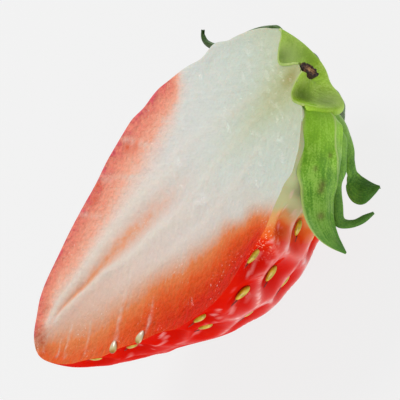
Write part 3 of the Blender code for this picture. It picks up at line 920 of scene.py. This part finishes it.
def skinColours(piece):
    def ripe(x, y, z):
        return eased(skinColour["ripeness"], x + 1.2 * easeStep(2, 8, y))

    # where the pits and dimples lie: deeper red there, partly the skin's own and partly painted shade
    def pit(x, y, z):
        broad, narrow = dips(Vector((x, y, z)))
        return 0.6 * broad + 0.4 * narrow

    def crest(x, y, z):  # painted highlight along the fine ridges where two pits meet, and patches of painted sheen near the cut
        point = Vector((x, y, z))
        if x < 1 or z > -0.4:
            return 0.0
        nearest, second, *_ = seedReaches(point)
        off = second - nearest + noise.noise(point * 0.7) * 0.35
        line = max(share * hump(off, 0, wide) for share, wide in skinColour["crestHighlights"])
        patch = 0.35 + 0.65 * easeStep(-0.3, 0.3, noise.noise(point * 0.33 + Vector((4, 0, 0))))
        low = line * patch * easeStep(-1.6, -4.2, z) * (0.35 + 0.65 * easeStep(15, 21, x))
        # patches of painted sheen just below the cut edge
        paintedSheen = easeStep(0.2, 0.55, noise.noise(Vector((x * 0.8, y, z * 2.2))))
        paintedSheen *= easeStep(-0.4, -1.2, z) * easeStep(-4.5, -2.5, z) * easeStep(7, 10, x)
        return max(low, skinColour["paintedSheen"] * paintedSheen)

    # painted glints in one patch, on the right-hand side only
    def dew(x, y, z):
        return dab(x, z, *skinColour["glintPatchPlace"]) if y < 0 else 0.0

    def stain(x, y, z):  # the empty pit on the shoulder has turned brown
        strength, long, broad = skinColour["stain"]
        lie, wide = fromSeed(Vector((x, y, z)), achenes["lost"][0])
        return strength * math.exp(-((lie / long) ** 4) - (wide / broad) ** 4)

    def wet(x, y, z):  # water stands on the ridges between the pits, lower down the sides
        point = Vector((x, y, z))
        ridge = (1 - dips(point)[0]) ** 1.5
        patch = 0.25 + 0.75 * easeStep(-0.35, 0.25, noise.noise(point * 0.45))
        return 0.02 + 0.98 * ridge * easeStep(-1.5, -4.5, z) * patch * (0.1 + 0.9 * easeStep(17, 24, x))

    for measure in (ripe, wet, pit, stain, crest, dew):
        floatAttribute(piece, measure.__name__, measure)


strawberryFlesh = makeFleshPiece()
rimPoints = [skinPoint(i / flesh["skinAlong"], v) for i in range(flesh["skinAlong"] + 1) for v in (0, 1)]
faceColours(strawberryFlesh, rimPoints)
skinColours(strawberryFlesh)
smooth(strawberryFlesh, 60)
belongs(strawberryFlesh, "ripe_flesh", "berry")
print("flesh made", len(strawberryFlesh.data.polygons))


def aimed(point, lengthwise, normal, grow=1.0):  # a matrix that stands a shape at a point of the skin
    sideways = normal.cross(lengthwise)
    turn = Matrix((lengthwise, sideways, normal)).transposed().to_4x4()
    return Matrix.Translation(placed(point)) @ turn @ Matrix.Scale(grow, 4)


def makeDrop(size, taper, detail, finish):  # a seed that lies along x, fatter at one end
    length, width, height = size
    segments, rings = detail
    half = 0.5 * mm
    selectOnly()
    turned = (0, math.pi / 2, 0)
    bpy.ops.mesh.primitive_uv_sphere_add(segments=segments, ring_count=rings, radius=half, rotation=turned)
    seed = bpy.context.object
    bpy.ops.object.transform_apply(rotation=True)
    ends = [vertex.co.x / half for vertex in seed.data.vertices]
    for vertex, end in zip(seed.data.vertices, ends):
        fat = 1 + taper * end
        vertex.co = (vertex.co.x * length, vertex.co.y * width * fat, vertex.co.z * height * fat)
    seed.data.materials.append(finish)
    smooth(seed)
    return seed, ends


def makeThread():  # a dried style, 1 mm long
    low, high = (radius * mm for radius in achenes["threadRadii"])
    turned = (0, -math.pi / 2, 0)
    selectOnly()
    bpy.ops.mesh.primitive_cone_add(vertices=6, radius1=low, radius2=high, depth=1 * mm, rotation=turned)
    thread = bpy.context.object
    bpy.ops.object.transform_apply(rotation=True)
    thread.data.materials.append(styleFinish)
    smooth(thread)
    return thread


def makeAchenes():
    draw = random.Random(7)
    threadDraw = random.Random(11)
    seed, _ = makeDrop(achenes["size"], achenes["taper"], (14, 9), acheneFinish)
    thread = makeThread()
    copies = []
    for number, (point, lengthwise, normal) in enumerate(seedFrames):
        if number in achenes["lost"]:
            continue
        grow = draw.uniform(*achenes["growth"])
        twist = Matrix.Rotation(math.radians(draw.uniform(-achenes["twist"], achenes["twist"])), 3, normal)
        ahead = twist @ lengthwise
        sink = achenes["sink"] * dipShare(point)
        one = seed.copy()
        one.data = seed.data.copy()
        one.data.transform(aimed(point - normal * sink, ahead, normal, grow))
        copies.append(one)
        long = threadDraw.uniform(*achenes["threadLength"])
        end = point - ahead * (achenes["size"][0] / 2 * grow + long * 0.42) - normal * sink * 0.8
        two = thread.copy()
        two.data = thread.data.copy()
        two.data.transform(Matrix.Diagonal((long, 1, 1, 1)))
        tilt = threadDraw.uniform(-achenes["threadTilt"], achenes["threadTilt"])
        tilt = Matrix.Rotation(math.radians(tilt), 3, normal)
        two.data.transform(aimed(end, tilt @ ahead, normal))
        copies.append(two)
    for item in copies:
        bpy.context.scene.collection.objects.link(item)
    for master in (seed, thread):
        bpy.data.objects.remove(master, do_unlink=True)
    return joined("achenes", copies)


# Two achenes were sliced open with the fruit: place, the way each points, and its length and width.
cutAchenes = {
    "placed": (
        ((9.5, -7.9, 0.05), (0.59, 0.81, 0.0), 1.3, 0.95),
        ((12.95, -9.6, 0.05), (0.92, 0.38, 0.0), 1.4, 0.88),
    ),
    "height": 0.4,
    "taper": -0.3,
}


def makeCutAchenes():
    opened = []
    for place, way, length, width in cutAchenes["placed"]:
        size = (length, width, cutAchenes["height"])
        half, ends = makeDrop(size, cutAchenes["taper"], (20, 12), kernelFinish)
        blunt = half.data.attributes.new("blunt", "FLOAT", "POINT")
        blunt.data.foreach_set("value", [0.5 - 0.5 * end for end in ends])
        half.data.transform(aimed(Vector(place), Vector(way), Vector((0, 0, 1))))
        opened.append(half)
    belongs(joined("cutAchenes", opened), "ripe_flesh")


makeCutAchenes()
acheneSet = makeAchenes()
belongs(acheneSet, "ripe_flesh")
print("achenes made")

# Each sepal lies between two edges, from foot to tip: x, y and z of the near edge, then of the far one.
sepals = {
    "thickness": 0.36,
    "arch": 0.16,
    "keel": (0.72, 0.14, 0.09),  # a fold along the blade: how far across, its height and its width
    "along": 110,
    "across": 36,
    # places along and across the front sepal, and sizes
    "bruises": ((0.5, 0.46, 0.45), (0.53, 0.45, 0.42), (0.68, 0.47, 0.4), (0.3, 0.62, 0.3), (0.4, 0.3, 0.28)),
    "sepalFront": (
        (39.35, -2.9, -0.35, 39.6, -3.6, -3.5),
        (38.95, -4.3, -0.3, 39.8, -4.6, -4.2),
        (37.7, -6.0, -0.4, 38.8, -5.3, -4.8),
        (37.0, -7.3, -0.5, 38.1, -5.9, -5.1),
        (36.4, -8.1, -0.5, 37.4, -6.6, -5.3),
        (35.9, -8.7, -0.6, 36.1, -7.8, -5.6),
        (35.2, -9.3, -1.4, 35.0, -8.9, -5.6),
        (34.2, -10.2, -2.1, 34.2, -10.2, -5.8),
        (33.2, -11.1, -3.2, 33.6, -10.8, -6.3),
        (32.4, -11.8, -5.0, 33.0, -11.4, -7.1),
        (32.2, -12.2, -6.7, 32.6, -11.9, -7.8),
        (32.3, -12.4, -8.4, 32.3, -12.4, -8.4),
    ),
    "sepalNarrow": (
        (39.2, -3.1, -3.4, 39.3, -2.2, -4.3),
        (38.6, -3.6, -4.6, 38.5, -3.4, -5.8),
        (37.8, -4.2, -5.3, 38.1, -3.9, -6.5),
        (36.9, -5.1, -5.8, 37.2, -4.9, -6.85),
        (35.8, -6.1, -6.1, 36.4, -6.0, -7.15),
        (34.9, -7.3, -6.3, 35.4, -7.0, -7.05),
        (33.9, -8.9, -6.6, 34.6, -8.9, -7.3),
        (33.3, -10.3, -7.1, 34.0, -9.9, -7.65),
        (33.9, -10.8, -8.0, 34.5, -10.3, -8.4),
        (34.9, -10.8, -8.8, 35.4, -10.2, -9.0),
        (36.0, -10.1, -9.6, 36.0, -10.1, -9.6),
    ),
    "sepalSpoon": (
        (39.1, -1.9, -4.2, 39.0, -0.6, -4.7),
        (38.5, -2.3, -5.9, 38.3, -1.3, -6.8),
        (37.4, -2.7, -7.3, 37.6, -2.1, -8.0),
        (35.9, -3.7, -8.6, 36.9, -2.9, -8.8),
        (35.1, -4.6, -9.1, 36.2, -3.6, -9.2),
        (34.3, -4.9, -9.6, 35.7, -4.2, -9.7),
        (33.9, -5.6, -10.0, 35.6, -4.5, -10.2),
        (34.0, -6.6, -10.3, 35.7, -4.9, -10.5),
        (34.7, -7.3, -10.6, 36.0, -5.6, -10.8),
        (35.9, -7.1, -10.9, 36.4, -6.3, -11.0),
        (36.7, -6.7, -11.1, 36.7, -6.7, -11.1),
    ),
    "sepalFar": (
        (40.1, 6.0, -0.5, 39.9, 3.4, -4.0),
        (39.55, 7.5, -0.6, 39.2, 5.6, -4.3),
        (38.5, 8.7, -0.9, 38.0, 7.4, -4.8),
        (37.1, 10.2, -1.5, 36.6, 9.2, -4.8),
        (35.6, 11.4, -1.9, 35.0, 10.8, -4.7),
        (33.9, 12.5, -2.2, 33.2, 12.1, -4.4),
        (32.2, 13.4, -2.5, 31.6, 13.2, -4.1),
        (30.7, 14.6, -2.7, 30.2, 14.5, -3.6),
        (29.8, 15.9, -2.7, 29.4, 15.8, -3.3),
        (29.8, 16.6, -2.5, 29.3, 16.6, -2.9),
        (30.1, 16.9, -2.2, 30.1, 16.9, -2.2),
    ),
    "sepalUnder": (
        (39.2, -0.4, -4.3, 39.0, 1.6, -4.2),
        (38.6, -0.2, -6.8, 38.4, 2.9, -6.4),
        (36.6, 1.4, -9.3, 36.6, 5.0, -8.7),
        (34.8, 2.4, -10.8, 34.8, 4.9, -10.4),
        (33.5, 3.7, -11.7, 33.5, 3.7, -11.7),
    ),
    "sepalFarNarrow": (
        (39.2, 2.2, -3.9, 39.3, 3.3, -3.5),
        (38.8, 3.8, -5.1, 38.9, 5.0, -4.1),
        (38.0, 6.1, -6.9, 38.4, 7.3, -5.4),
        (35.4, 8.2, -7.9, 35.8, 9.0, -6.6),
        (32.6, 10.4, -8.3, 32.6, 10.4, -8.3),
    ),
}


def sepalPoint(rows, t, across, keel):
    values = onCurve(withEnds(rows), t)
    near, far = Vector(values[:3]), Vector(values[3:])
    ahead = Vector(onCurve(withEnds(rows), t + 0.02)[:3]) - Vector(onCurve(withEnds(rows), t - 0.02)[:3])
    outward = ahead.cross(far - near)
    if outward.length > 0:
        outward.normalize()
    width = (far - near).length
    arch = sepals["arch"] * width * 4 * across * (1 - across)
    keelPlace = sepals["keel"][0] + (1 - sepals["keel"][0]) * easeStep(0.2, 0.55, t)
    fold = keel * hump(across, keelPlace, sepals["keel"][2]) * min(width / 3, 1)
    crinkle = noise.noise(Vector((t * 9, across * 2.5, len(rows)))) * 0.05 * width
    return near.lerp(far, across) + outward * (arch + fold + crinkle * 4 * across * (1 - across))


def spots(item, name, places):  # soft round spots: where, how big and how strong each one is
    def strongest(x, y, z):
        point = Vector((x, y, z))
        return max(strength * hump((point - Vector(at)).length, 0, size) for at, size, strength in places)

    floatAttribute(item, name, strongest)


def makeSepal(name, finish, keel=0.0, paleRim=0):
    def pointAt(u, v):
        return sepalPoint(sepals[name], u, v, keel)

    leaf = shapedGrid(name, sepals["along"], sepals["across"], pointAt, finish)
    leaf.data.materials.append(edgeFinish)
    thicken(leaf, sepals["thickness"], 0, paleRim)
    smooth(leaf, 50)
    belongs(leaf, "sepal_green")
    return leaf


front = makeSepal("sepalFront", leafFinish, sepals["keel"][1], 1)
bruised = [(sepalPoint(sepals["sepalFront"], *place, 0), size, 1.0) for *place, size in sepals["bruises"]]
spots(front, "bruise", bruised)
# sepals under and behind the fruit take the deepest painted shade, the narrow and spoon sepals a lighter
# painted shade
for sepalName in ("sepalUnder", "sepalFarNarrow", "sepalFar"):
    makeSepal(sepalName, farShadeLeafFinish)
for sepalName in ("sepalNarrow", "sepalSpoon"):
    makeSepal(sepalName, shadeLeafFinish)

# The hub is a dented cap round the stem: a furrow close to the stem, then a crest that the sepals hang from.
hub = {
    "middle": (0.4, -0.6),
    # from the left of the cut, under the stem, to its right: how far out and x, at each step out
    "spokes": (
        (
            (0.6, 40.9), (1.1, 40.4), (1.6, 39.7), (2.3, 39.0), (3.1, 39.0), (4.1, 39.6), (5.0, 40.3),
            (5.7, 40.4), (6.0, 39.9), (5.9, 39.4), (5.6, 38.8),
        ),
        (
            (0.6, 40.9), (1.1, 40.5), (1.5, 39.9), (2.1, 39.3), (2.8, 39.3), (3.5, 39.8), (4.2, 40.4),
            (4.7, 40.45), (5.0, 40.0), (4.9, 39.4), (4.8, 38.8),
        ),
        (
            (0.6, 40.9), (1.0, 40.6), (1.3, 40.2), (1.7, 39.9), (2.2, 39.9), (2.7, 40.2), (3.2, 40.5),
            (3.6, 40.5), (3.9, 40.1), (3.9, 39.5), (3.9, 38.9),
        ),
        (
            (0.6, 40.9), (1.0, 40.5), (1.4, 40.0), (1.9, 39.6), (2.6, 39.7), (3.4, 40.2), (4.3, 40.8),
            (4.9, 40.95), (5.2, 40.5), (5.0, 39.8), (4.8, 39.0),
        ),
        (
            (0.7, 40.9), (0.9, 40.2), (1.2, 39.6), (1.7, 39.0), (2.4, 38.9), (3.0, 39.2), (3.6, 39.6),
            (4.1, 39.9), (4.3, 39.6), (4.2, 39.1), (4.1, 38.3),
        ),
    ),
    "endLift": 0.05,  # how far the two cut ends stand above the flesh
    "tuck": 1.3,  # how deep their outer corners dive
    # soft spots of painted shade, then of painted highlight: place, size and strength
    "shades": (
        ((39.1, -1.4, -1.0), 1.1, 0.75), ((39.1, 3.6, -0.1), 0.8, 0.5), ((39.9, -2.9, -2.6), 1.3, 0.5),
    ),
    "lights": (((39.35, 3.9, -1.0), 1.6, 0.8), ((40.5, -1.8, -3.3), 1.5, 0.45)),
    "thickness": 0.22,
    "out": 60,
    "round": 120,
}


def hubPoint(u, v):
    spokes = [onCurve(withEnds(spoke), u) for spoke in hub["spokes"]]
    out, x = onCurve(withEnds(spokes), v)
    turn = math.pi * v
    y, z = hub["middle"]
    crinkle = noise.noise(Vector((turn * 2, out * 0.8, 0))) * 0.06
    lift = (hub["endLift"] - z - hub["tuck"] * easeStep(0.72, 0.95, u)) * (1 - math.sin(turn)) ** 2
    return Vector((x + crinkle, y + out * math.cos(turn), z - out * math.sin(turn) + lift))


def makeHub():
    dish = shapedGrid("calyxHub", hub["out"], hub["round"], hubPoint, hubFinish)
    editMesh(dish, outwards)
    dish.data.materials.append(edgeFinish)
    thicken(dish, hub["thickness"], -1, 1)
    spots(dish, "furrow", hub["shades"])
    spots(dish, "bloom", hub["lights"])
    smooth(dish, 50)
    belongs(dish, "sepal_green", "calyx")


makeHub()
print("calyx made")

# What is left of the stalk: a small torn disc, dark round the edge, with broken fibres in the middle.
stub = {
    "middle": (41.1, 0.4, -1.1),
    "radius": (0.85, 0.95),
    "rings": 16,
    "spokes": 48,
    "dish": 0.12,
    "tear": 0.16,
    "ragged": 0.22,
    "end": 0.8,  # the share of the rings that make the torn end; the others run back as its side
    "heart": (0.45, 0.6),
}


def stubPoint(u, v):
    x, y, z = stub["middle"]
    turn = 2 * math.pi * v
    around = Vector((math.cos(turn), math.sin(turn), 0))
    ragged = 1 + stub["ragged"] * noise.noise(around * 1.3)
    out = min(u, stub["end"]) / stub["end"] * ragged
    rough = noise.noise(Vector((out * around.x * 3.5, out * around.y * 3.5, 5))) * stub["tear"]
    rise = -stub["dish"] * (1 - out * out) + rough
    if u > stub["end"]:  # the side runs in under the torn end
        rise = rough - 4.5 * (u - stub["end"])
        out *= 1 - 1.4 * (u - stub["end"])
    return Vector((x + rise, y + out * stub["radius"][0] * around.x, z + out * stub["radius"][1] * around.y))


def makeStub():
    piece = shapedGrid("stalkEnd", stub["rings"], stub["spokes"], stubPoint, stalkFinish)
    editMesh(piece, mergeDoubles, outwards)
    _, middleY, middleZ = stub["middle"]
    wide, tall = stub["heart"]
    floatAttribute(piece, "heart", lambda x, y, z: hump(y, middleY, wide) * hump(z, middleZ, tall))
    smooth(piece)
    belongs(piece, "dried_stalk", "stem_stub")


makeStub()
print("stem made")

# A plain pale floor, a big soft lamp behind the fruit and a low one in front of it. Places are as above.
stageSetup = {
    "floor": "#343434",
    "glow": 0.825,
    "world": 0.46,
    # where each lamp stands and aims, its width and its power
    "softbox": ((0, 230, 250), (20, 0, 0), 170, 0.72),
    "lowCard": ((-20, -212, 22), (20, -8, -5), 120, 0.21),
}


def makeStage():
    selectOnly()
    bpy.ops.mesh.primitive_plane_add(size=6, location=(0, 0, -0.0001))
    floor = bpy.context.object
    floor.name = "floor"
    material, shader, _, _ = newMaterial("paleFloor")
    fillSockets(shader, {
        "Base Color": hexColour(stageSetup["floor"]),
        "Roughness": 0.9,
        "Emission Color": (1, 1, 1, 1),
        "Emission Strength": stageSetup["glow"],
    })
    floor.data.materials.append(material)
    world = bpy.data.worlds.new("studio")
    bpy.context.scene.world = world
    world.use_nodes = True
    fillSockets(world.node_tree.nodes["Background"], {"Color": (1, 1, 1, 1), "Strength": stageSetup["world"]})


def addLamp(name, place, target, size, power):
    spot = placed(place)
    aim = (placed(target) - spot).to_track_quat("-Z", "Y")
    bpy.ops.object.light_add(type="AREA", location=spot)
    lamp = bpy.context.object
    lamp.name = name
    lamp.rotation_mode = "QUATERNION"
    lamp.rotation_quaternion = aim
    lamp.data.shape = "DISK"
    lamp.data.size = size * mm
    lamp.data.energy = power
    lamp.visible_camera = False


makeStage()
for lampName in ("softbox", "lowCard"):
    addLamp(lampName, *stageSetup[lampName])
bpy.context.scene.view_settings.view_transform = "Standard"
print("stage made")
